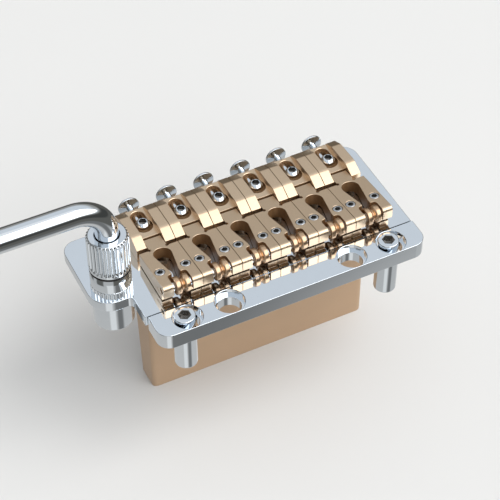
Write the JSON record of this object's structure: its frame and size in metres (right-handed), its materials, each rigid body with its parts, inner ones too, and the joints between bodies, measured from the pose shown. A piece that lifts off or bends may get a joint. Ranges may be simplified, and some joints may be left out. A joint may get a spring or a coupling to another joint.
{
  "type": "guitar tremolo bridge",
  "caption": "Guitar tremolo bridge: a plate with roller saddles tilts behind a pivot bar on studs, with a tone block below and a bent arm in a fluted holder.",
  "frame": {"origin": "centre of the pivot bar's row of holes, on the bar's underside", "axes": "+X across the strings towards the treble side, +Y towards the guitar's tail, +Z away from the guitar's top"},
  "size_m": [0.1951, 0.0436, 0.0748],
  "materials": {
    "chrome": "mirror plated",
    "bronze": "finely brushed bronze plating",
    "block": "matte bronze coating",
    "copper": "polished copper bronze",
    "steel": "bright steel",
    "rubber": "matte",
    "nylon": "matte"
  },
  "bodies": {
    "bar": {"pivot_bar": "chrome", "stud_bass": "chrome", "stud_treble": "chrome", "sleeve_bass": "chrome", "sleeve_treble": "chrome"},
    "plate": {"base_plate": "chrome", "fulcrum_rod_bass": "steel", "fulcrum_rod_treble": "steel", "tone_block": "block", "block_screws": "steel", "arm_socket": "chrome", "arm_lock_ring": "chrome", "arm_spacer_ring": "chrome", "arm_seal": "rubber", "arm_liner": "nylon", "clamp_screw_1": "chrome", "clamp_screw_2": "chrome", "clamp_screw_3": "chrome", "clamp_screw_4": "chrome", "clamp_screw_5": "chrome", "clamp_screw_6": "chrome"},
    "collar": {"arm_collar": "chrome"},
    "arm": {"tremolo_arm": "chrome"},
    "carriage_1": {"carriage_1": "bronze"},
    "saddle_1": {"saddle_1": "bronze", "saddle_pins_1": "chrome"},
    "height_1": {"height_screws_1": "steel"},
    "roller_1": {"roller_1": "copper"},
    "thumb_1": {"thumb_screw_1": "chrome"},
    "carriage_2": {"carriage_2": "bronze"},
    "saddle_2": {"saddle_2": "bronze", "saddle_pins_2": "chrome"},
    "height_2": {"height_screws_2": "steel"},
    "roller_2": {"roller_2": "copper"},
    "thumb_2": {"thumb_screw_2": "chrome"},
    "carriage_3": {"carriage_3": "bronze"},
    "saddle_3": {"saddle_3": "bronze", "saddle_pins_3": "chrome"},
    "height_3": {"height_screws_3": "steel"},
    "roller_3": {"roller_3": "copper"},
    "thumb_3": {"thumb_screw_3": "chrome"},
    "carriage_4": {"carriage_4": "bronze"},
    "saddle_4": {"saddle_4": "bronze", "saddle_pins_4": "chrome"},
    "height_4": {"height_screws_4": "steel"},
    "roller_4": {"roller_4": "copper"},
    "thumb_4": {"thumb_screw_4": "chrome"},
    "carriage_5": {"carriage_5": "bronze"},
    "saddle_5": {"saddle_5": "bronze", "saddle_pins_5": "chrome"},
    "height_5": {"height_screws_5": "steel"},
    "roller_5": {"roller_5": "copper"},
    "thumb_5": {"thumb_screw_5": "chrome"},
    "carriage_6": {"carriage_6": "bronze"},
    "saddle_6": {"saddle_6": "bronze", "saddle_pins_6": "chrome"},
    "height_6": {"height_screws_6": "steel"},
    "roller_6": {"roller_6": "copper"},
    "thumb_6": {"thumb_screw_6": "chrome"}
  },
  "joints": [
    {"name": "plate_tilt", "type": "hinge", "parent": "bar", "child": "plate", "pos_m": [0, 0.00415, 0.0033], "axis": [1, 0, 0], "range_deg": [-4, 10], "stiffness_Nm_per_rad": 20},
    {"name": "arm_swing", "type": "hinge", "parent": "plate", "child": "arm", "pos_m": [-0.0405, 0.0169, 0.0046], "axis": [0, 0, 1], "continuous": true},
    {"name": "collar_turn", "type": "hinge", "parent": "plate", "child": "collar", "pos_m": [-0.0405, 0.0169, 0.0046], "axis": [0, 0, 1], "continuous": true},
    {"name": "thumb_turn_1", "type": "hinge", "parent": "plate", "child": "thumb_1", "pos_m": [-0.02625, 0.0366, 0.0059], "axis": [0, 1, 0], "range_deg": [-369, 2313]},
    {"name": "carriage_slide_1", "type": "slide", "parent": "plate", "child": "carriage_1", "axis": [0, 1, 0], "range_m": [-0.00321, 0.00051]},
    {"name": "saddle_tilt_1", "type": "hinge", "parent": "carriage_1", "child": "saddle_1", "pos_m": [-0.02625, 0.024, 0.0062], "axis": [-1, 0, 0], "range_deg": [0, 4]},
    {"name": "height_slide_1", "type": "slide", "parent": "saddle_1", "child": "height_1", "axis": [0, -0.1288, -0.9917], "range_m": [0, 0.00095]},
    {"name": "roller_spin_1", "type": "hinge", "parent": "saddle_1", "child": "roller_1", "pos_m": [-0.02625, 0.0072, 0.0083], "axis": [1, 0, 0], "continuous": true},
    {"name": "thumb_turn_2", "type": "hinge", "parent": "plate", "child": "thumb_2", "pos_m": [-0.01575, 0.0366, 0.0059], "axis": [0, 1, 0], "range_deg": [-369, 2313]},
    {"name": "carriage_slide_2", "type": "slide", "parent": "plate", "child": "carriage_2", "axis": [0, 1, 0], "range_m": [-0.00321, 0.00051]},
    {"name": "saddle_tilt_2", "type": "hinge", "parent": "carriage_2", "child": "saddle_2", "pos_m": [-0.01575, 0.024, 0.0062], "axis": [-1, 0, 0], "range_deg": [0, 4]},
    {"name": "height_slide_2", "type": "slide", "parent": "saddle_2", "child": "height_2", "axis": [0, -0.1288, -0.9917], "range_m": [0, 0.00095]},
    {"name": "roller_spin_2", "type": "hinge", "parent": "saddle_2", "child": "roller_2", "pos_m": [-0.01575, 0.0072, 0.0083], "axis": [1, 0, 0], "continuous": true},
    {"name": "thumb_turn_3", "type": "hinge", "parent": "plate", "child": "thumb_3", "pos_m": [-0.00525, 0.0366, 0.0059], "axis": [0, 1, 0], "range_deg": [-369, 2313]},
    {"name": "carriage_slide_3", "type": "slide", "parent": "plate", "child": "carriage_3", "axis": [0, 1, 0], "range_m": [-0.00321, 0.00051]},
    {"name": "saddle_tilt_3", "type": "hinge", "parent": "carriage_3", "child": "saddle_3", "pos_m": [-0.00525, 0.024, 0.0062], "axis": [-1, 0, 0], "range_deg": [0, 4]},
    {"name": "height_slide_3", "type": "slide", "parent": "saddle_3", "child": "height_3", "axis": [0, -0.1288, -0.9917], "range_m": [0, 0.00095]},
    {"name": "roller_spin_3", "type": "hinge", "parent": "saddle_3", "child": "roller_3", "pos_m": [-0.00525, 0.0072, 0.0083], "axis": [1, 0, 0], "continuous": true},
    {"name": "thumb_turn_4", "type": "hinge", "parent": "plate", "child": "thumb_4", "pos_m": [0.00525, 0.0366, 0.0059], "axis": [0, 1, 0], "range_deg": [-369, 2313]},
    {"name": "carriage_slide_4", "type": "slide", "parent": "plate", "child": "carriage_4", "axis": [0, 1, 0], "range_m": [-0.00321, 0.00051]},
    {"name": "saddle_tilt_4", "type": "hinge", "parent": "carriage_4", "child": "saddle_4", "pos_m": [0.00525, 0.024, 0.0062], "axis": [-1, 0, 0], "range_deg": [0, 4]},
    {"name": "height_slide_4", "type": "slide", "parent": "saddle_4", "child": "height_4", "axis": [0, -0.1288, -0.9917], "range_m": [0, 0.00095]},
    {"name": "roller_spin_4", "type": "hinge", "parent": "saddle_4", "child": "roller_4", "pos_m": [0.00525, 0.0072, 0.0083], "axis": [1, 0, 0], "continuous": true},
    {"name": "thumb_turn_5", "type": "hinge", "parent": "plate", "child": "thumb_5", "pos_m": [0.01575, 0.0366, 0.0059], "axis": [0, 1, 0], "range_deg": [-369, 2313]},
    {"name": "carriage_slide_5", "type": "slide", "parent": "plate", "child": "carriage_5", "axis": [0, 1, 0], "range_m": [-0.00321, 0.00051]},
    {"name": "saddle_tilt_5", "type": "hinge", "parent": "carriage_5", "child": "saddle_5", "pos_m": [0.01575, 0.024, 0.0062], "axis": [-1, 0, 0], "range_deg": [0, 4]},
    {"name": "height_slide_5", "type": "slide", "parent": "saddle_5", "child": "height_5", "axis": [0, -0.1288, -0.9917], "range_m": [0, 0.00095]},
    {"name": "roller_spin_5", "type": "hinge", "parent": "saddle_5", "child": "roller_5", "pos_m": [0.01575, 0.0072, 0.0083], "axis": [1, 0, 0], "continuous": true},
    {"name": "thumb_turn_6", "type": "hinge", "parent": "plate", "child": "thumb_6", "pos_m": [0.02625, 0.0366, 0.0059], "axis": [0, 1, 0], "range_deg": [-369, 2313]},
    {"name": "carriage_slide_6", "type": "slide", "parent": "plate", "child": "carriage_6", "axis": [0, 1, 0], "range_m": [-0.00321, 0.00051]},
    {"name": "saddle_tilt_6", "type": "hinge", "parent": "carriage_6", "child": "saddle_6", "pos_m": [0.02625, 0.024, 0.0062], "axis": [-1, 0, 0], "range_deg": [0, 4]},
    {"name": "height_slide_6", "type": "slide", "parent": "saddle_6", "child": "height_6", "axis": [0, -0.1288, -0.9917], "range_m": [0, 0.00095]},
    {"name": "roller_spin_6", "type": "hinge", "parent": "saddle_6", "child": "roller_6", "pos_m": [0.02625, 0.0072, 0.0083], "axis": [1, 0, 0], "continuous": true}
  ],
  "couplings": [
    {"joint": "thumb_turn_1", "follows": "carriage_slide_1", "rad_per_m": -12566},
    {"joint": "height_slide_1", "follows": "saddle_tilt_1", "m_per_rad": 0.0127},
    {"joint": "thumb_turn_2", "follows": "carriage_slide_2", "rad_per_m": -12566},
    {"joint": "height_slide_2", "follows": "saddle_tilt_2", "m_per_rad": 0.0127},
    {"joint": "thumb_turn_3", "follows": "carriage_slide_3", "rad_per_m": -12566},
    {"joint": "height_slide_3", "follows": "saddle_tilt_3", "m_per_rad": 0.0127},
    {"joint": "thumb_turn_4", "follows": "carriage_slide_4", "rad_per_m": -12566},
    {"joint": "height_slide_4", "follows": "saddle_tilt_4", "m_per_rad": 0.0127},
    {"joint": "thumb_turn_5", "follows": "carriage_slide_5", "rad_per_m": -12566},
    {"joint": "height_slide_5", "follows": "saddle_tilt_5", "m_per_rad": 0.0127},
    {"joint": "thumb_turn_6", "follows": "carriage_slide_6", "rad_per_m": -12566},
    {"joint": "height_slide_6", "follows": "saddle_tilt_6", "m_per_rad": 0.0127}
  ]
}
